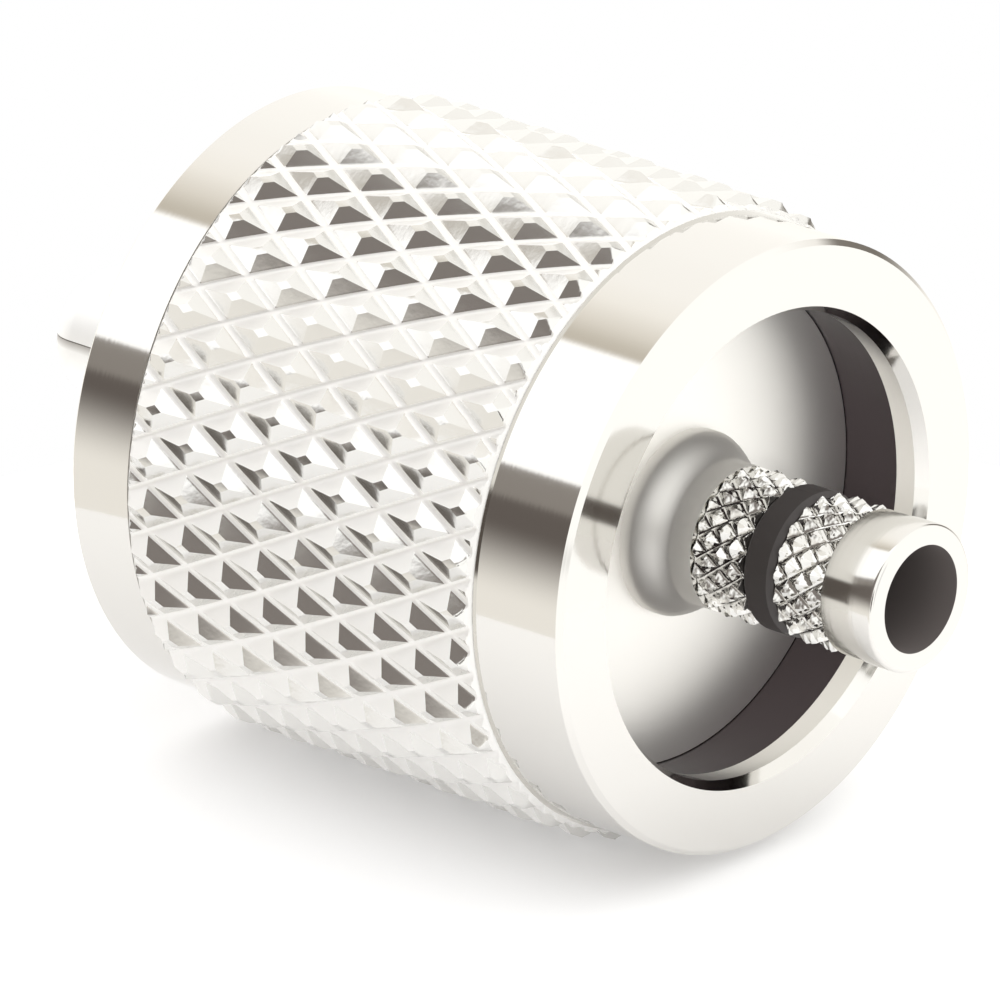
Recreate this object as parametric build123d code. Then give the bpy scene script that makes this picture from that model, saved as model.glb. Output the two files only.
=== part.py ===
from build123d import *
from math import cos, pi, radians, sin
import os

# Crimp plug of the UHF pattern: a knurled coupling nut that turns on a plated body
# The plug lies on its side. X runs along its axis, towards the cable end, and Z is up
# The origin is on the axis, in the plane of the nut's front mouth

# Coupling nut
nut_length = 19.03
band_radius = 9.25
front_band = 2.35
rear_band = 3.25
nut_edge_break = 0.16
thread_radius = 7.42
thread_mouth_chamfer = 0.5
lip_radius = 7.055
lip_thickness = 1.07
lip_chamfer_length = 0.38
lip_chamfer_rise = 0.215

# Diamond knurl of the nut
nut_knurl_crest = 9.72
nut_knurl_depth = 0.38
nut_knurl_count = 39
nut_knurl_pitch = 2.95
nut_knurl_chamfer = 0.32
nut_knurl_turn = 5.16

# Body: flange, front barrel and crimp stem, turned in one piece
spin_clearance = 0.08
flange_setback = 3.3
flange_thickness = 3.2
flange_edge_break = 0.1
barrel_radius = 6.1
barrel_bore_radius = 5.2
body_front = 7.0
barrel_chamfer = 0.3
rim_notch_count = 4
rim_notch_width = 1.6
rim_notch_depth = 0.8
boss_radius = 2.8
boss_height = 0.52
boss_taper_length = 0.4

# Crimp stem
stem_radius = 2.2
stem_end = 25.03
stem_bore_radius = 1.63
stem_tip_chamfer = 0.22
stem_tip_length = 1.23
stem_tip_step = 0.04
stem_plain_length = 0.93
stem_knurl_length = 1.9
stem_knurl_depth = 0.24
stem_knurl_count = 18
stem_knurl_pitch = 0.95
ring_gap = 1.16
ring_groove_depth = 0.45

# Black ring in the groove between the stem's knurls
ring_side_clearance = 0.02
ring_seat_clearance = 0.01
ring_standout = 0.0
ring_corner = 0.16

# Insulator
insulator_length = 6.0
insulator_recess = 0.2
insulator_clearance = 0.01

# Contact pin
pin_radius = 1.98
pin_reach = 14.7
pin_nose_radius = 1.0
pin_shank_radius = 1.1
pin_cup_radius = 0.65
pin_cup_depth = 5.7
pin_rear_recess = 0.8
pin_clearance = 0.01

# Places worked out from the sizes above
nut_knurl_root = nut_knurl_crest - nut_knurl_depth
lip_inner_face = nut_length - lip_thickness
flange_rear = nut_length - flange_setback
flange_front = flange_rear - flange_thickness
flange_radius = thread_radius - spin_clearance
insulator_radius = barrel_bore_radius - insulator_clearance
insulator_front = body_front + insulator_recess
insulator_rear = insulator_front + insulator_length
pin_tip = body_front - pin_reach
boss_face = flange_rear + boss_height
stem_tip_start = stem_end - stem_tip_length
stem_plain_start = stem_tip_start - stem_plain_length
rear_knurl_start = stem_plain_start - stem_knurl_length
front_knurl_end = rear_knurl_start - ring_gap
front_knurl_start = front_knurl_end - stem_knurl_length
stem_knurl_crest = stem_radius
stem_knurl_root = stem_knurl_crest - stem_knurl_depth
groove_radius = stem_radius - ring_groove_depth


def turned(profile):
    """Solid turned about the X axis from a closed outline of (place, radius) points."""
    outline = Polyline(*[(x, 0, r) for x, r in profile], close=True)
    return Solid.revolve(Face(Wire(outline.edges())), 360, Axis.X)


def rod(start, end, radius):
    """Plain rod along the axis."""
    return turned([(start, 0), (end, 0), (end, radius), (start, radius)])


def on_round(radius, angle, place):
    """Point at a radius and an angle about the X axis."""
    return Vector(place, radius * cos(angle), radius * sin(angle))


def facet(*corners):
    """Flat face through three corners."""
    return Face(Wire.make_polygon(list(corners), close=True))


def diamond_rod(start, end, crest, root, count, pitch, turn=0.0):
    """Rod whose outside is a diamond knurl: rows of pyramids, each row set half a step round.

    The rows run past both ends by half a pitch or more, and a shallow cone closes each end.
    """
    half_turn = pi / count
    half_pitch = pitch / 2
    rows = 2 * round((end - start) / pitch) + 3
    middle = (start + end) / 2
    first = middle - (rows + 1) * half_pitch / 2
    faces = []
    for row in range(rows):
        place = first + row * half_pitch
        for column in range(count):
            angle = radians(turn) + (2 * column + row % 2) * half_turn
            corners = [
                on_round(root, angle, place),
                on_round(root, angle + half_turn, place + half_pitch),
                on_round(root, angle, place + pitch),
                on_round(root, angle - half_turn, place + half_pitch),
            ]
            apex = on_round(crest, angle, place + half_pitch)
            faces += [facet(apex, corners[i - 1], corners[i]) for i in range(4)]
    last = first + (rows - 1) * half_pitch
    for column in range(count):
        for place, side, row in ((first, -1, 0), (last + pitch, 1, rows - 1)):
            angle = radians(turn) + (2 * column + row % 2) * half_turn
            centre = Vector(place + side * half_pitch, 0, 0)
            point = on_round(root, angle, place)
            for step in (-half_turn, half_turn):
                faces.append(facet(centre, point, on_round(root, angle + step, place - side * half_pitch)))
    return Solid(Shell(faces))


def make_coupling_nut():
    """Nut with a plain band at each end, a proud diamond knurl between them, and a rear lip."""
    knurl_start = front_band
    knurl_end = nut_length - rear_band
    blank = turned([
        (knurl_start, 0),
        (knurl_end, 0),
        (knurl_end, band_radius),
        (knurl_end - nut_knurl_chamfer, nut_knurl_crest),
        (knurl_start + nut_knurl_chamfer, nut_knurl_crest),
        (knurl_start, band_radius),
    ])
    knurl = diamond_rod(
        knurl_start, knurl_end, nut_knurl_crest, nut_knurl_root,
        nut_knurl_count, nut_knurl_pitch, nut_knurl_turn,
    )
    edge = band_radius - nut_edge_break
    front = turned([
        (0, 0), (knurl_start, 0), (knurl_start, band_radius),
        (nut_edge_break, band_radius), (0, edge),
    ])
    rear = turned([
        (knurl_end, 0), (nut_length, 0), (nut_length, edge),
        (nut_length - nut_edge_break, band_radius), (knurl_end, band_radius),
    ])
    mouth = thread_radius + thread_mouth_chamfer
    hollow = turned([
        (-1, 0),
        (-1, mouth),
        (0, mouth),
        (thread_mouth_chamfer, thread_radius),
        (lip_inner_face, thread_radius),
        (lip_inner_face, lip_radius),
        (nut_length - lip_chamfer_length, lip_radius),
        (nut_length, lip_radius + lip_chamfer_rise),
        (nut_length + 1, lip_radius + lip_chamfer_rise),
        (nut_length + 1, 0),
    ])
    return front + (blank & knurl) + rear - hollow


def make_connector_body():
    """Flange, notched front barrel, boss and knurled crimp stem, bored through for pin and cable."""
    outline = turned([
        (body_front, 0),
        (body_front, barrel_radius - barrel_chamfer),
        (body_front + barrel_chamfer, barrel_radius),
        (flange_front, barrel_radius),
        (flange_front, flange_radius - flange_edge_break),
        (flange_front + flange_edge_break, flange_radius),
        (flange_rear - flange_edge_break, flange_radius),
        (flange_rear, flange_radius - flange_edge_break),
        (flange_rear, boss_radius),
        (boss_face, boss_radius),
        (boss_face + boss_taper_length, stem_radius),
        (front_knurl_start, stem_radius),
        (front_knurl_start, groove_radius),
        (stem_plain_start, groove_radius),
        (stem_plain_start, stem_radius),
        (stem_tip_start, stem_radius),
        (stem_tip_start, stem_radius + stem_tip_step),
        (stem_end - stem_tip_chamfer, stem_radius + stem_tip_step),
        (stem_end, stem_radius + stem_tip_step - stem_tip_chamfer),
        (stem_end, 0),
    ])
    body = outline
    for start in (front_knurl_start, rear_knurl_start):
        end = start + stem_knurl_length
        knurl = diamond_rod(
            start, end, stem_knurl_crest, stem_knurl_root,
            stem_knurl_count, stem_knurl_pitch,
        )
        body += knurl & rod(start, end, stem_knurl_crest + stem_knurl_depth)
    body -= rod(body_front - 1, insulator_rear, barrel_bore_radius)
    body -= rod(insulator_rear - 1, stem_end + 1, stem_bore_radius)
    notch = Pos(body_front + rim_notch_depth / 2, 0, 0) * Box(
        rim_notch_depth, 2 * barrel_radius + 2, rim_notch_width
    )
    for i in range(rim_notch_count // 2):
        body -= Rot(i * 360 / rim_notch_count, 0, 0) * notch
    return body


def make_stem_ring():
    """Black ring that fills the groove between the stem's two knurls, with rounded outer corners."""
    inner = groove_radius + ring_seat_clearance
    outer = stem_radius + ring_standout
    start = front_knurl_end + ring_side_clearance
    end = rear_knurl_start - ring_side_clearance
    return turned([
        (start, inner),
        (end, inner),
        (end, outer - ring_corner),
        (end - ring_corner, outer),
        (start + ring_corner, outer),
        (start, outer - ring_corner),
    ])


def make_insulator():
    """Round insulator that fills the barrel and carries the contact pin."""
    disc = rod(insulator_front, insulator_rear, insulator_radius)
    return disc - rod(insulator_front - 1, insulator_rear + 1, pin_shank_radius + pin_clearance)


def make_contact_pin():
    """Turned pin: a rounded nose, a shoulder on the insulator, and a shank with a solder cup in it."""
    rear = insulator_rear - pin_rear_recess
    pin = rod(pin_tip, insulator_front, pin_radius)
    nose = pin.edges().filter_by(GeomType.CIRCLE).sort_by(Axis.X)[0]
    pin = pin.fillet(pin_nose_radius, [nose])
    pin += rod(insulator_front, rear, pin_shank_radius)
    return pin - rod(rear - pin_cup_depth, rear + 1, pin_cup_radius)


os.makedirs("parts", exist_ok=True)
export_step(make_coupling_nut(), "parts/coupling_nut.step")
export_step(make_connector_body(), "parts/connector_body.step")
export_step(make_stem_ring(), "parts/stem_ring.step")
export_step(make_insulator(), "parts/insulator.step")
export_step(make_contact_pin(), "parts/contact_pin.step")
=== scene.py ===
import math

import bmesh
import bpy
from mathutils import Matrix, Vector


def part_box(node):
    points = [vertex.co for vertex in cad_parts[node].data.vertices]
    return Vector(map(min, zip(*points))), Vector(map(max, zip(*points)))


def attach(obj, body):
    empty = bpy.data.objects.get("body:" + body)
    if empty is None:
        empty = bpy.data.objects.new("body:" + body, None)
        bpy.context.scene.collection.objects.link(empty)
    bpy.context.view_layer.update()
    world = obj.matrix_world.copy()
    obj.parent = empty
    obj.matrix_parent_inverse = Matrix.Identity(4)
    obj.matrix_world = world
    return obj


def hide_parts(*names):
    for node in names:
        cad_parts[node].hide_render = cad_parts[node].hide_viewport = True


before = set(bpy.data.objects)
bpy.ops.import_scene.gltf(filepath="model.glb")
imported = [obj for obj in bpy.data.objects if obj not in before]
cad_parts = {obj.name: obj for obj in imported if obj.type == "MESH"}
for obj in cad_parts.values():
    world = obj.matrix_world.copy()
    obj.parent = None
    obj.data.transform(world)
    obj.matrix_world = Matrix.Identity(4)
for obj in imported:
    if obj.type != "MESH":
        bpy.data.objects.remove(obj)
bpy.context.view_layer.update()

# Coupling nut
# Turned from free-cutting brass and bright nickel plated. Two wheels press the diamond knurl, which
# stands proud of the plain bands at its ends, and inside runs the coupling thread up to a rear lip.

mm = 0.001
micron = 0.001 * mm
nut_low, nut_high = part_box("coupling_nut")
nut_front = nut_low.x
nut_rear = nut_high.x
band_radius = 9.25 * mm
front_band = 2.35 * mm
rear_band = 3.25 * mm
edge_break = 0.16 * mm
thread_radius = 7.42 * mm
thread_major_radius = 7.94 * mm
thread_pitch = 1.058 * mm
thread_end = 11.5 * mm
# the thread's form over one pitch: (share of the pitch, share of the depth)
thread_form = (
    (0, 0), (0.13, 0), (0.26, 0), (0.4, 0.5), (0.53, 1), (0.62, 1), (0.72, 1), (0.86, 0.5), (1, 0),
)
turned_segments = 192
thread_segments = 96
mouth_chamfer = 0.5 * mm
lip_radius = 7.055 * mm
lip_thickness = 1.07 * mm
lip_chamfer = 0.38 * mm
lip_chamfer_rise = 0.215 * mm

knurl_crest = 9.72 * mm
knurl_root = 9.326 * mm
knurl_count = 39
knurl_pitch = 2.95 * mm
knurl_turn = 5.16
knurl_chamfer = 0.36 * mm
# for each family of grooves: the widths of a pyramid's two sides, as shares of one cell, and the
# share of a side's height that its round groove takes
knurl_sides = ((0.46, 0.34), (0.34, 0.46))
knurl_grooves = (0.2, 0.3)
# the crown's rise, as a share of the pyramid's height
knurl_crown = 0.02


def linear(code):
    """Linear colour with alpha from an sRGB hex code."""
    parts = [int(code[i:i + 2], 16) / 255 for i in (0, 2, 4)]
    return [p / 12.92 if p <= 0.04045 else ((p + 0.055) / 1.055) ** 2.4 for p in parts] + [1.0]


def node(tree, kind, settings=None, inputs=None):
    """Adds one shader node. Settings are its properties, inputs its values or links by socket name."""
    made = tree.nodes.new(kind)
    for name, value in (settings or {}).items():
        setattr(made, name, value)
    for name, value in (inputs or {}).items():
        socket = made.inputs[name]
        if isinstance(value, bpy.types.NodeSocket):
            tree.links.new(value, socket)
        else:
            socket.default_value = value
    return made


def new_material(name, **inputs):
    """A material whose Principled shader has the given inputs. Returns it, its tree and the shader."""
    material = bpy.data.materials.new(name)
    material.use_nodes = True
    shader = material.node_tree.nodes["Principled BSDF"]
    for key, value in inputs.items():
        shader.inputs[key.replace("_", " ")].default_value = value
    return material, material.node_tree, shader


def nickel(name, colour, roughness, height, size, turned=True):
    """Nickel plate over brass, with lathe rings about the X axis or, if not turned, with small dents.

    Size is the rings' or dents' width. A lathe's real feed marks are finer than the rings drawn here.
    """
    material, tree, shader = new_material(
        name, Base_Color=linear(colour), Metallic=1.0, Roughness=roughness)
    place = node(tree, "ShaderNodeTexCoord").outputs["Object"]
    if turned:
        parts = node(tree, "ShaderNodeSeparateXYZ", None, {"Vector": place})
        across = node(tree, "ShaderNodeCombineXYZ", None, {
            "X": parts.outputs["Y"], "Y": parts.outputs["Z"]})
        radius = node(tree, "ShaderNodeVectorMath", {"operation": "LENGTH"}, {0: across.outputs[0]})
        place = node(tree, "ShaderNodeCombineXYZ", None, {
            "X": parts.outputs["X"], "Y": radius.outputs["Value"]}).outputs[0]
    marks = node(tree, "ShaderNodeTexNoise", {"noise_dimensions": "2D" if turned else "3D"},
                 {"Vector": place, "Scale": 1 / size, "Detail": 2.0})
    bump = node(tree, "ShaderNodeBump", None,
                {"Height": marks.outputs["Fac"], "Distance": height, "Strength": 1.0})
    tree.links.new(bump.outputs["Normal"], shader.inputs["Normal"])
    return material


def lathe(profile, segments, kinds=None):
    """An outline of (x, radius) points turned about the X axis. Kinds are its segments' materials."""
    points = []
    faces = []
    for k in range(segments):
        angle = 2 * math.pi * k / segments
        points += [(x, r * math.cos(angle), r * math.sin(angle)) for x, r in profile]
    n = len(profile)
    for k in range(segments):
        here = k * n
        there = (k + 1) % segments * n
        faces += [(here + i, here + i + 1, there + i + 1, there + i) for i in range(n - 1)]
    return points, faces, (kinds or [0] * (n - 1)) * segments


def diamond_knurl(start, end, crest, root, count, pitch, turn, sides, grooves, crown):
    """A diamond knurl's skin about the X axis, made cell by cell along its two families of grooves.

    A cell is a pyramid with flat sides, a low crown and a round groove on each side of it. Both
    families' grids have the same heights, so every edge between two facets runs through grid
    points. The grooves and the sides that rise from the first family's are kind 2, the rest kind 1.
    """
    shares = [0, grooves[0] / 2, grooves[0], grooves[1], 1]
    last = 2 * len(shares)
    # grid steps from a groove's bottom that take kind 2, the lighter plate that paints a highlight along
    # the grooves
    highlight_satin_steps = 2
    steps = []
    heights = []
    for (first, second), groove in zip(sides, grooves):
        rises = [share if share >= groove else (groove + share ** 2 / groove) / 2 for share in shares]
        heights.append(rises + [1 + crown] + rises[::-1])
        steps.append([first * share for share in shares] + [(1 + first - second) / 2]
                     + [1 - second * share for share in reversed(shares)])
    middle = (start + end) / 2
    reach = math.ceil((end - start) / pitch) + 1
    points = []
    faces = []
    kinds = []
    index = {}
    for i in range(-reach, count + reach):
        for j in range(-reach, count + reach):
            if not 0 <= i + j < 2 * count or abs(i - j) > reach:
                continue
            ids = []
            for a in range(last + 1):
                for b in range(last + 1):
                    u = i * last + a
                    v = j * last + b
                    wrap = (u + v) // (2 * count * last) * count * last
                    key = (u - wrap, v - wrap)
                    if key not in index:
                        index[key] = len(points)
                        across = i + steps[0][a] - 0.5
                        up = j + steps[1][b] - 0.5
                        angle = math.radians(turn) + (across + up) * math.pi / count
                        radius = root + (crest - root) * min(heights[0][a], heights[1][b])
                        x = middle + (across - up) * pitch / 2
                        points.append((x, radius * math.cos(angle), radius * math.sin(angle)))
                    ids.append(index[key])
            for a in range(last):
                for b in range(last):
                    p, q, r, s = (a, b), (a + 1, b), (a + 1, b + 1), (a, b + 1)
                    same = (a < last / 2) == (b < last / 2)
                    for face in ((p, r, q), (p, s, r)) if same else ((p, s, q), (q, s, r)):
                        faces.append([ids[m * (last + 1) + n] for m, n in face])
                        m, n = [sum(corner[k] for corner in face) / 3 for k in (0, 1)]
                        in_groove = min(m, last - m, n, last - n) < highlight_satin_steps
                        on_side = m < min(n, last - n) and m < len(shares) - 1
                        kinds.append(2 if in_groove or on_side else 1)
    return points, faces, kinds


def new_piece(name, shapes, materials, body, sharp=25.0):
    """A mesh piece of (vertices, faces, kinds) shapes that rides on a body. A kind picks a material.

    An edge that turns by more than the sharp angle, in degrees, stays crisp.
    """
    mesh = bpy.data.meshes.new(name)
    points = []
    faces = []
    kinds = []
    for shape_points, shape_faces, shape_kinds in shapes:
        faces += [[len(points) + k for k in face] for face in shape_faces]
        points += shape_points
        kinds += shape_kinds
    mesh.from_pydata(points, [], faces)
    for material in materials:
        mesh.materials.append(material)
    mesh.polygons.foreach_set("material_index", kinds)
    mesh.shade_smooth()
    mesh.set_sharp_from_angle(angle=math.radians(sharp))
    piece = bpy.data.objects.new(name, mesh)
    bpy.context.collection.objects.link(piece)
    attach(piece, body)
    return piece


def trimmed_knurl(shape, start, end, chamfer, band):
    """A knurl's skin cut off square at both ends, with each end chamfered down to a band's radius."""
    work = bmesh.new()
    mesh = bpy.data.meshes.new("knurl_skin")
    mesh.from_pydata(shape[0], [], shape[1])
    mesh.polygons.foreach_set("material_index", shape[2])
    work.from_mesh(mesh)
    cuts = 6
    on_plane = 1e-9
    for place, side in ((start, 1), (end, -1)):
        for k in range(cuts + 1):
            bmesh.ops.bisect_plane(
                work, geom=work.verts[:] + work.edges[:] + work.faces[:], dist=on_plane,
                plane_co=(place + side * chamfer * k / cuts, 0, 0), plane_no=(side, 0, 0),
                clear_inner=(k == 0))
    slope = max(math.hypot(v.co.y, v.co.z) for v in work.verts) - band
    for v in work.verts:
        radius = math.hypot(v.co.y, v.co.z)
        limit = band + slope * min(v.co.x - start, end - v.co.x) / chamfer
        if radius > limit:
            v.co.y *= limit / radius
            v.co.z *= limit / radius
    # the chamfered ends also take kind 2, the lighter plate that paints a highlight
    for face in work.faces:
        middle = face.calc_center_median()
        if min(middle.x - start, end - middle.x) < chamfer / 2:
            face.material_index = 2
    work.to_mesh(mesh)
    work.free()
    faces = [tuple(f.vertices) for f in mesh.polygons]
    return [tuple(v.co) for v in mesh.vertices], faces, [f.material_index for f in mesh.polygons]


def inside_thread(start, end, mouth, minor, major, pitch, form, segments):
    """The thread in a bore about the X axis, as columns whose rows follow the helix.

    It opens in a chamfer at its start and runs out to nothing over its last turn. Rows that would
    pass either end stop there, and the faces that this closes are left out.
    """
    turns = range(-1, math.ceil((end - start) / pitch))
    rows = [turn + share for turn in turns for share, depth in form[:-1]]
    points = []
    faces = []
    for k in range(segments + 1):
        angle = 2 * math.pi * k / segments
        for row in rows:
            x = min(max(start + (row + k / segments) * pitch, start), end)
            phase = ((x - start) / pitch - k / segments) % 1
            depth = 0
            for (low, low_depth), (high, high_depth) in zip(form, form[1:]):
                if low <= phase <= high:
                    depth = low_depth + (high_depth - low_depth) * (phase - low) / (high - low)
            run_out = min(1, (end - x) / pitch)
            radius = max(minor + (major - minor) * depth * run_out, mouth - (x - start))
            points.append((x, radius * math.cos(angle), radius * math.sin(angle)))
    n = len(rows)
    for k in range(segments):
        for i in range(n - 1):
            face = (k * n + i, k * n + i + 1, (k + 1) * n + i + 1, (k + 1) * n + i)
            if len({points[m] for m in face}) > 2:
                faces.append(face)
    return points, faces, [0] * len(faces)


knurl_start = nut_front + front_band
knurl_end = nut_rear - rear_band
knurl = trimmed_knurl(
    diamond_knurl(knurl_start, knurl_end, knurl_crest, knurl_root, knurl_count, knurl_pitch,
                  knurl_turn, knurl_sides, knurl_grooves, knurl_crown),
    knurl_start, knurl_end, knurl_chamfer, band_radius)
front_shell = lathe([
    (knurl_start, knurl_root),
    (knurl_start, band_radius),
    (nut_front + edge_break, band_radius),
    (nut_front, band_radius - edge_break),
    (nut_front, thread_radius + mouth_chamfer),
], turned_segments)
thread = inside_thread(nut_front, thread_end, thread_radius + mouth_chamfer, thread_radius,
                       thread_major_radius, thread_pitch, thread_form, thread_segments)
# the bore behind the thread and the inner side of the lip are kind 3, the dark plate that paints their
# shade
rear_shell = lathe([
    (thread_end, thread_radius),
    (nut_rear - lip_thickness, thread_radius),
    (nut_rear - lip_thickness, lip_radius),
    (nut_rear - lip_chamfer, lip_radius),
    (nut_rear, lip_radius + lip_chamfer_rise),
    (nut_rear, band_radius - edge_break),
    (nut_rear - edge_break, band_radius),
    (knurl_end, band_radius),
    (knurl_end, knurl_root),
], turned_segments, [3, 3, 0, 0, 0, 0, 0, 0])
# Bright nickel mirrors the tent in hard bands, hardly softened by the fine lathe rings. On the
# pressed pyramids it is slightly dented, so their flat sides reflect unevenly. The grooves, one
# family's flanks and the knurl's chamfered ends have a rough satin plate made much lighter than the
# nickel, a painted highlight, and the plate deep in the bore is made dark, a painted shade.
nut_plates = [
    nickel("bright_nickel_on_turned_brass", "DAD8D4",
           roughness=0.07, height=0.3 * micron, size=0.12 * mm),
    nickel("bright_nickel_on_pressed_knurl", "DAD9D6",
           roughness=0.18, height=6 * micron, size=0.35 * mm, turned=False),
    # much lighter than the nickel: a painted highlight on grooves, flanks and chamfers, over a real
    # rough satin
    nickel("satin_groove_with_painted_highlight", "F1F0EE",
           roughness=0.6, height=1 * micron, size=0.1 * mm, turned=False),
    # a dark copy of the nickel: painted shade in the bore behind the thread and on the lip's inner side
    nickel("bore_nickel_darkened_as_painted_shade", "463F41",
           roughness=0.3, height=1.5 * micron, size=0.15 * mm),
]
nut = new_piece("nut", [knurl, front_shell, thread, rear_shell], nut_plates, "coupling")
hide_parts("coupling_nut")

# Connector body
# One brass turning, bright nickel plated: a barrel with a notched rim, the flange that holds the nut,
# a boss, and the crimp stem with its two pressed knurls. The stem's bore is painted dark as shade.

body_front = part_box("connector_body")[0].x
rim_notch_count = 4
rim_notch_width = 1.6 * mm
rim_notch_depth = 0.8 * mm
barrel_radius = 6.1 * mm
barrel_bore_radius = 5.2 * mm
barrel_chamfer = 0.3 * mm
insulator_seat = 13.2 * mm
flange_front = 12.53 * mm
flange_rear = 15.73 * mm
flange_radius = 7.41 * mm
flange_edge_break = 0.02 * mm
boss_radius = 2.8 * mm
boss_height = 0.3 * mm
boss_sweep = 1.1 * mm
stem_radius = 2.2 * mm
stem_bore_radius = 1.63 * mm
front_stem_knurl = 17.91 * mm
rear_stem_knurl = 20.97 * mm
stem_knurl_length = 1.9 * mm
stem_knurl_root = 1.96 * mm
stem_knurl_count = 18
stem_knurl_pitch = 0.95 * mm
stem_knurl_turn = 10.0
stem_knurl_chamfer = 0.1 * mm
stem_knurl_sides = ((0.34, 0.34), (0.34, 0.34))
stem_knurl_grooves = (0.4, 0.5)
stem_knurl_crown = 0.25
ring_groove_radius = 1.75 * mm
stem_tip_start = 23.8 * mm
stem_tip_radius = 2.24 * mm
stem_tip_round = 0.14 * mm
stem_tip_steps = 8
boss_steps = 10
body_segments = 144
bore_segments = 96
stem_end = 24.8 * mm


def notched_rim(front, depth, inner, outer, chamfer, count, width):
    """A tube's chamfered end about the X axis, with flat-sided notches cut through its wall."""
    back = front + depth
    outline = [
        (back, outer), (front + chamfer, outer), (front, outer - chamfer), (front, inner), (back, inner),
    ]
    steps = 24
    points = []
    for i in range(count):
        for k in range(steps + 1):
            for x, r in outline:
                half = math.asin(width / 2 / r)
                angle = 2 * math.pi * i / count + half + (2 * math.pi / count - 2 * half) * k / steps
                points.append((x, r * math.cos(angle), r * math.sin(angle)))
    faces = []
    n = len(outline)
    for i in range(count):
        first = i * (steps + 1) * n
        for k in range(steps):
            here = first + k * n
            faces += [(here + m, here + m + 1, here + n + m + 1, here + n + m) for m in range(n - 1)]
        last = first + steps * n
        after = (i + 1) % count * (steps + 1) * n
        faces.append(tuple(first + m for m in reversed(range(n))))
        faces.append(tuple(last + m for m in range(n)))
        faces.append((last, last + n - 1, after + n - 1, after))
    return points, faces, [0] * len(faces)


rim_back = body_front + rim_notch_depth
rim = notched_rim(body_front, rim_notch_depth, barrel_bore_radius, barrel_radius, barrel_chamfer,
                  rim_notch_count, rim_notch_width)
stem = [(stem_end, stem_bore_radius)]
for k in range(stem_tip_steps + 1):
    angle = math.pi / 2 * k / stem_tip_steps
    stem.append((stem_end - stem_tip_round * (1 - math.cos(angle)),
                 stem_tip_radius - stem_tip_round * (1 - math.sin(angle))))
stem += [
    (stem_tip_start, stem_tip_radius),
    (stem_tip_start, stem_radius),
    (rear_stem_knurl + stem_knurl_length, stem_radius),
    (rear_stem_knurl + stem_knurl_length, stem_knurl_root),
    (rear_stem_knurl, stem_knurl_root),
    (rear_stem_knurl, ring_groove_radius),
    (front_stem_knurl + stem_knurl_length, ring_groove_radius),
    (front_stem_knurl + stem_knurl_length, stem_knurl_root),
    (front_stem_knurl, stem_knurl_root),
    (front_stem_knurl, stem_radius),
]
for k in range(boss_steps + 1):
    share = k / boss_steps
    swell = (share + share ** 2 * (3 - 2 * share)) / 2
    stem.append((flange_rear + boss_height + boss_sweep * (1 - share),
                 stem_radius + (boss_radius - stem_radius) * swell))
outline = stem + [
    (flange_rear, boss_radius),
    (flange_rear, flange_radius - flange_edge_break),
    (flange_rear - flange_edge_break, flange_radius),
    (flange_front + flange_edge_break, flange_radius),
    (flange_front, flange_radius - flange_edge_break),
    (flange_front, barrel_radius),
    (rim_back, barrel_radius),
]
# the flange's rear face, the boss and the stem up to its first knurl are satin and painted lighter as
# light, which is kind 4
kinds = [4 if flange_rear <= (here[0] + there[0]) / 2 < front_stem_knurl else 0
         for here, there in zip(outline, outline[1:])]
body_outline = lathe(outline, body_segments, kinds)
# the stem's bore is kind 3, painted dark as shade
body_bore = lathe([
    (rim_back, barrel_bore_radius),
    (insulator_seat, barrel_bore_radius),
    (insulator_seat, stem_bore_radius),
    (stem_end, stem_bore_radius),
], bore_segments, [0, 0, 3])
stem_knurls = [
    trimmed_knurl(
        diamond_knurl(start, start + stem_knurl_length, stem_radius, stem_knurl_root, stem_knurl_count,
                      stem_knurl_pitch, stem_knurl_turn, stem_knurl_sides, stem_knurl_grooves,
                      stem_knurl_crown),
        start, start + stem_knurl_length, stem_knurl_chamfer, stem_knurl_root)
    for start in (front_stem_knurl, rear_stem_knurl)]
# Turned parts mirror the tent through fine lathe rings, the pressed knurls sparkle from their dents
# and have one plate for both kinds of face, the faced flange has a soft satin sheen on a plate made
# lighter than the nickel, a painted light, and the stem's bore is a dull brownish grey, a painted shade.
pressed_plate = nickel("bright_nickel_on_pressed_stem_knurl", "DAD9D6",
                       roughness=0.08, height=30 * micron, size=0.35 * mm, turned=False)
# dark matt grey in place of plated brass: painted shade inside the stem's bore
stem_bore_shade = new_material("painted_shade_in_the_stem_bore", Base_Color=linear("6E6765"), Roughness=0.9)[0]
body_plates = [
    nickel("bright_nickel_on_faced_brass", "DAD8D4",
           roughness=0.12, height=0.8 * micron, size=0.15 * mm),
    pressed_plate,
    pressed_plate,
    stem_bore_shade,
    # much lighter than the nickel: painted light on the flange face, boss and stem, over a real satin
    # finish
    nickel("satin_nickel_lightened_as_painted_light", "F4F2EE",
           roughness=0.46, height=0.8 * micron, size=0.15 * mm),
]
body = new_piece(
    "body", [body_outline, body_bore, rim] + stem_knurls, body_plates, "plug_body")
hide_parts("connector_body")

# Stem ring
# A black band between the stem's two knurls. It is moulded from rubber, and stretched over the stem
# into a groove that it nearly fills.

# Moulded rubber is dull, so the ring reads as one flat brownish black
black_rubber = new_material("moulded_black_rubber", Base_Color=linear("3A3534"), Roughness=0.55)[0]
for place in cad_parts["stem_ring"].material_slots:
    place.material = black_rubber

# Insulator
# The disc that carries the contact pin. It is turned from white fluoropolymer and pressed into the
# barrel against its floor.

# Turned fluoropolymer is white with a waxy, half-sharp sheen
white_ptfe = new_material("turned_white_fluoropolymer", Base_Color=linear("EEEDE8"), Roughness=0.38)[0]
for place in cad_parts["insulator"].material_slots:
    place.material = white_ptfe

# Contact pin
# Rolled from silver-plated brass and tumbled, and the shank is pressed into the insulator. A thin
# dark line along the camera's side is a painted reflection of the dark room, with painted shade below
# it.

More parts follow.
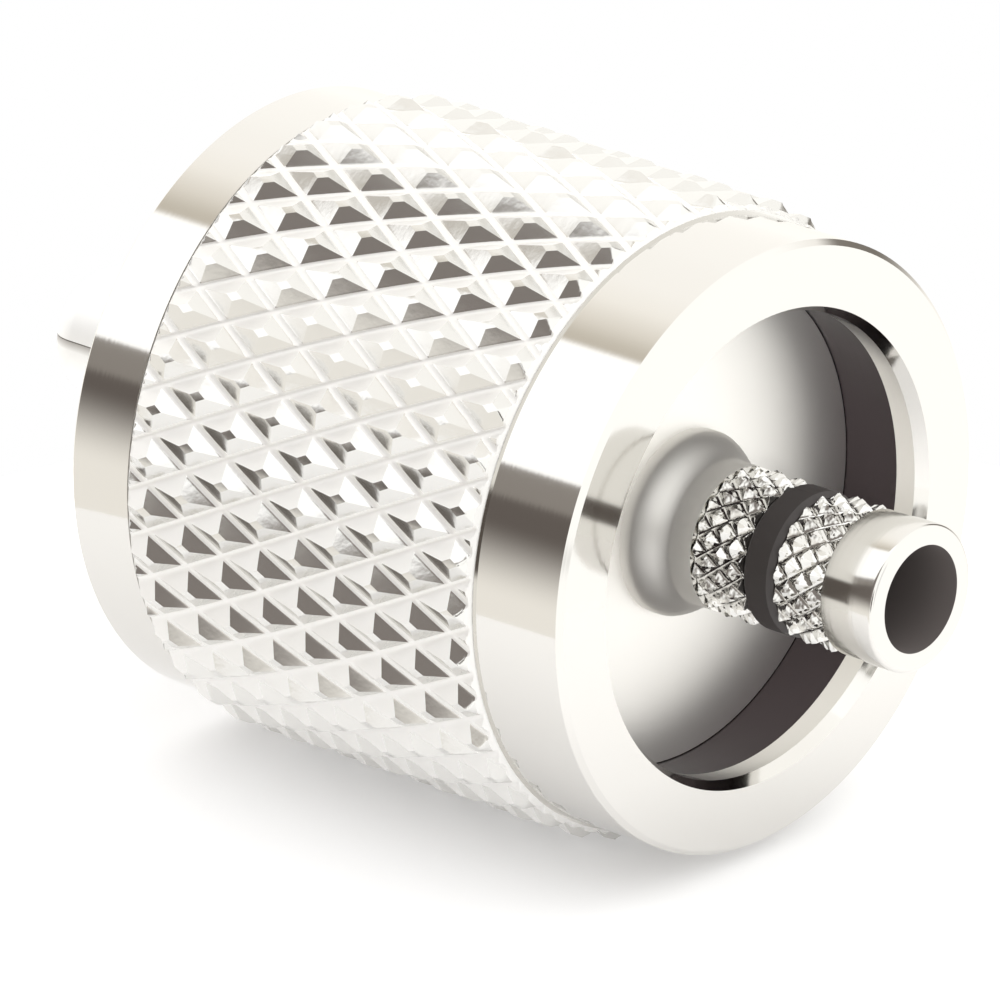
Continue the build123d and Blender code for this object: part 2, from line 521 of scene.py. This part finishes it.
# degrees round the pin, up from the camera's side, to the painted dark line, and how far the line and
# the painted shade reach below it
dark_line_angle = 10.1
dark_line_width = 1.2
painted_shade_reach = 9.0
silver_white = "FBFBFA"
# the grey of the painted shade below the dark line
painted_shade_silver = "B9B5B1"
# the painted reflection of the dark room along the pin
painted_reflection_dark = "5F5A57"
# Tumbled silver spreads the light so far that the pin looks white; a dark line is painted on as a
# reflection, with painted shade below it
pin_plate, tree, shader = new_material(
    "soft_white_silver_on_rolled_brass", Metallic=1.0, Roughness=0.6)
place = node(tree, "ShaderNodeSeparateXYZ", None, {
    "Vector": node(tree, "ShaderNodeTexCoord").outputs["Object"]})
toward = node(tree, "ShaderNodeMath", {"operation": "MULTIPLY"}, {0: place.outputs["Y"], 1: -1.0})
around = node(tree, "ShaderNodeMath", {"operation": "ARCTAN2"}, {
    0: place.outputs["Z"], 1: toward.outputs[0]})
share = node(tree, "ShaderNodeMapRange", None, {
    "Value": around.outputs[0], "From Min": math.radians(dark_line_angle - painted_shade_reach),
    "From Max": math.radians(dark_line_angle)})
# painted shade: the silver greys towards the dark line
painted_shade_mix = node(tree, "ShaderNodeMix", {"data_type": "RGBA"}, {
    0: share.outputs[0], 6: linear(silver_white), 7: linear(painted_shade_silver)})
# painted reflection: the thin dark line
edge = node(tree, "ShaderNodeMapRange", None, {
    "Value": around.outputs[0], "From Min": math.radians(dark_line_angle - dark_line_width),
    "From Max": math.radians(dark_line_angle - dark_line_width / 2)})
painted_reflection_mix = node(tree, "ShaderNodeMix", {"data_type": "RGBA"}, {
    0: edge.outputs[0], 6: painted_shade_mix.outputs[2], 7: linear(painted_reflection_dark)})
past = node(tree, "ShaderNodeMath", {"operation": "GREATER_THAN"}, {
    0: around.outputs[0], 1: math.radians(dark_line_angle)})
plated = node(tree, "ShaderNodeMix", {"data_type": "RGBA"}, {
    0: past.outputs[0], 6: painted_reflection_mix.outputs[2], 7: linear(silver_white)})
tree.links.new(plated.outputs[2], shader.inputs["Base Color"])
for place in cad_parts["contact_pin"].material_slots:
    place.material = pin_plate

# Floor
# A round sheet of matt white paper on the table. The plug lies on it with the knurl's crests, and it
# is just large enough to carry the plug's soft shadow.

floor_level = nut_low.z
floor_radius = 28 * mm
floor_centre = (9.5 * mm, 0, floor_level)
# the paper's own light in lens and mirror, under the plug and past its cable end, and where it grows
paper_glow = (0.2, 0.36)
glow_rise = (8 * mm, 16 * mm)
# Matt paper shows the soft shadow, and its light lifts it to the white of the room round it
paper, tree, shader = new_material("white_paper", Base_Color=linear("F5F5F6"), Roughness=0.9)
along = node(tree, "ShaderNodeSeparateXYZ", None, {
    "Vector": node(tree, "ShaderNodeTexCoord").outputs["Object"]})
lift = node(tree, "ShaderNodeMapRange", None, {
    "Value": along.outputs["X"], "From Min": glow_rise[0], "From Max": glow_rise[1],
    "To Min": paper_glow[0], "To Max": paper_glow[1]})
glow = node(tree, "ShaderNodeEmission", None, {"Color": linear("FFFFFF"), "Strength": lift.outputs[0]})
seen = node(tree, "ShaderNodeAddShader", None, {0: shader.outputs[0], 1: glow.outputs[0]})
path = node(tree, "ShaderNodeLightPath").outputs
sharp_rays = node(tree, "ShaderNodeMath", {"operation": "ADD"},
                  {0: path["Is Camera Ray"], 1: path["Is Glossy Ray"]})
looking = node(tree, "ShaderNodeMath", {"operation": "ADD", "use_clamp": True},
               {0: sharp_rays.outputs[0], 1: path["Is Transmission Ray"]})
white_out = node(tree, "ShaderNodeMixShader", None, {
    0: looking.outputs[0], 1: shader.outputs[0], 2: seen.outputs[0]})
tree.links.new(white_out.outputs[0], tree.nodes["Material Output"].inputs["Surface"])
bpy.ops.mesh.primitive_circle_add(
    vertices=96, radius=floor_radius, fill_type="NGON", location=floor_centre)
floor = bpy.context.object
floor.name = "floor"
floor.data.materials.append(paper)

# Light tent
# A plain white room, and in it a long sheet bent round the plug. It carries a tall softbox at the
# front left, pale cloth at the left and back, the pale table low down, the dark room at the front and
# a dark card behind the plug.

world = bpy.data.worlds.new("white_room")
bpy.context.scene.world = world
world.use_nodes = True
world.node_tree.nodes["Background"].inputs["Color"].default_value = linear("FFFFFF")
world.node_tree.nodes["Background"].inputs["Strength"].default_value = 1.0

tent_radius = 0.5
tent_reach = 2.0
tent_strength = 1.6
table_colour = "DCD9D3"
room_colours = ("5A5450", "746E6A")
# where a direction's X takes the room from its first colour to its second, and where a direction's
# height takes the cloth from its low colours to its high ones
room_change = (-0.55, -0.15)
cloth_change = (0.45, 0.65)
# the sloping edge between the softbox and the dark room
room_edge = (-0.502, 0.689, 0.5225)
# towards the dark corner just below the camera
dark_corner = (0.61, -0.792, 0.028)
# degrees round the plug from its front end towards the camera's side, and the cloth's colour there,
# high up and low down
high_cloth = [
    (-180, "ECEBE8"), (-60, "ECEBE8"), (-26, "EAE8E4"), (-13, "E5E2DC"), (2, "CFCAC1"), (10, "BBB5AA"),
    (15, "B2AB9F"), (17, "FFFFFF"), (180, "FFFFFF"),
]
low_cloth = [
    (-180, "E6E4E0"), (-104, "E6E4E0"), (-99, "77726C"), (-76, "68635D"), (-71, "E6E4E0"),
    (-22, "F2F1EE"), (4, "FFFFFF"), (8, "A49E95"), (15, "978F83"), (17, "FFFFFF"), (180, "FFFFFF"),
]
tent_points = []
tent_faces = []
tent_steps = 72
for k in range(tent_steps + 1):
    angle = 2 * math.pi * k / tent_steps
    for x in (-tent_reach, tent_reach):
        tent_points.append((x, tent_radius * math.cos(angle), tent_radius * math.sin(angle)))
for k in range(tent_steps):
    tent_faces.append((2 * k, 2 * k + 1, 2 * k + 3, 2 * k + 2))
mesh = bpy.data.meshes.new("light_tent")
mesh.from_pydata(tent_points, [], tent_faces)
# Lit cloth is no surface to the eye here, only the pale and dark shapes that the plate mirrors
tent_cloth, tree, shader = new_material("lit_tent_cloth")
tree.nodes.remove(shader)
outward = node(tree, "ShaderNodeVectorMath", {"operation": "NORMALIZE"}, {
    0: node(tree, "ShaderNodeTexCoord").outputs["Object"]}).outputs["Vector"]
place = node(tree, "ShaderNodeSeparateXYZ", None, {"Vector": outward})
ahead = node(tree, "ShaderNodeMath", {"operation": "MULTIPLY"}, {0: place.outputs["X"], 1: -1.0})
toward = node(tree, "ShaderNodeMath", {"operation": "MULTIPLY"}, {0: place.outputs["Y"], 1: -1.0})
swing = node(tree, "ShaderNodeMath", {"operation": "ARCTAN2"}, {
    0: toward.outputs[0], 1: ahead.outputs[0]})
turned_by = node(tree, "ShaderNodeMapRange", None, {
    "Value": swing.outputs[0], "From Min": -math.pi, "From Max": math.pi})
cloths = []
for stops in (high_cloth, low_cloth):
    colour = node(tree, "ShaderNodeValToRGB", None, {"Fac": turned_by.outputs[0]})
    ramp = colour.color_ramp
    ramp.elements.remove(ramp.elements[1])
    for i, (angle, code) in enumerate(stops):
        stop = ramp.elements[0] if i == 0 else ramp.elements.new(0.5 + angle / 360)
        stop.position = 0.5 + angle / 360
        stop.color = linear(code)
    cloths.append(colour.outputs["Color"])
room = node(tree, "ShaderNodeMapRange", None, {
    "Value": place.outputs["X"], "From Min": room_change[0], "From Max": room_change[1]})
room_colour = node(tree, "ShaderNodeMix", {"data_type": "RGBA"}, {
    0: room.outputs[0], 6: linear(room_colours[0]), 7: linear(room_colours[1])})
height = node(tree, "ShaderNodeMapRange", None, {
    "Value": place.outputs["Z"], "From Min": cloth_change[0], "From Max": cloth_change[1]})
cloth = node(tree, "ShaderNodeMix", {"data_type": "RGBA"}, {
    0: height.outputs[0], 6: cloths[1], 7: cloths[0]})
beyond = node(tree, "ShaderNodeVectorMath", {"operation": "DOT_PRODUCT"}, {0: outward, 1: room_edge})
beside = node(tree, "ShaderNodeVectorMath", {"operation": "DOT_PRODUCT"}, {0: outward, 1: dark_corner})
shade = room_colour.outputs[2]
# each part lies over the ones before: what its place is measured by, where it begins and is full
for measure, low, high, over in (
    # the far end of the room, ahead of the plug's front
    (ahead.outputs[0], 0.68, 0.88, linear("9C9792")),
    # the paler strip of the room along the softbox's edge
    (beyond.outputs["Value"], -0.135, -0.105, linear("807B76")),
    # the softbox and the cloths past that edge
    (beyond.outputs["Value"], -0.002, 0.002, cloth.outputs[2]),
    # the table
    (place.outputs["Z"], 0.12, -0.28, linear(table_colour)),
    # the white end of the tent, behind the plug's cable end
    (place.outputs["X"], 0.2, 0.4, linear("F5F5F3")),
    # the dark corner
    (beside.outputs["Value"], 0.968, 0.982, linear("5A5450")),
):
    share = node(tree, "ShaderNodeMapRange", {"interpolation_type": "SMOOTHSTEP"}, {
        "Value": measure, "From Min": low, "From Max": high})
    shade = node(tree, "ShaderNodeMix", {"data_type": "RGBA"}, {
        0: share.outputs[0], 6: shade, 7: over}).outputs[2]
glow = node(tree, "ShaderNodeEmission", None, {"Color": shade, "Strength": tent_strength})
tree.links.new(glow.outputs[0], tree.nodes["Material Output"].inputs["Surface"])
mesh.materials.append(tent_cloth)
tent = bpy.data.objects.new("light_tent", mesh)
bpy.context.collection.objects.link(tent)
tent.visible_camera = False

# Camera
# A long lens a little above the plug, behind its cable end, framed as in the photograph. It is placed
# by the plug's axis and by where the nut's rear face lies in the frame.

view = bpy.context.scene.view_settings
view.view_transform = "Standard"
frame_pixels = 1000.0
focal_pixels = 18586.0
# right, down and away, seen from the camera
axis_in_view = Vector((0.7528, 0.2496, -0.6091)).normalized()
rear_face_pixel = (768.5, 549.1)
rear_face_depth = 0.5396
rear_face_centre = Vector((nut_rear, 0, 0))
elevation = math.atan2(axis_in_view.y, -axis_in_view.z)
z_in_view = -Vector((0, math.cos(elevation), math.sin(elevation)))
z_in_view = (z_in_view - axis_in_view * z_in_view.dot(axis_in_view)).normalized()
y_in_view = z_in_view.cross(axis_in_view)
rear_face_in_view = rear_face_depth * Vector((
    (rear_face_pixel[0] - frame_pixels / 2) / focal_pixels,
    (rear_face_pixel[1] - frame_pixels / 2) / focal_pixels,
    1))
# Blender's camera looks along its own -Z with +Y up
flip = Matrix(((1, 0, 0), (0, -1, 0), (0, 0, -1)))
turn = flip @ Matrix((axis_in_view, y_in_view, z_in_view)).transposed()
shift = flip @ rear_face_in_view - turn @ rear_face_centre
camera = bpy.data.objects.new("camera", bpy.data.cameras.new("camera"))
bpy.context.collection.objects.link(camera)
camera.matrix_world = (Matrix.Translation(shift) @ turn.to_4x4()).inverted()
camera.data.lens = camera.data.sensor_width * focal_pixels / frame_pixels
camera.data.clip_start = 0.01
bpy.context.scene.camera = camera
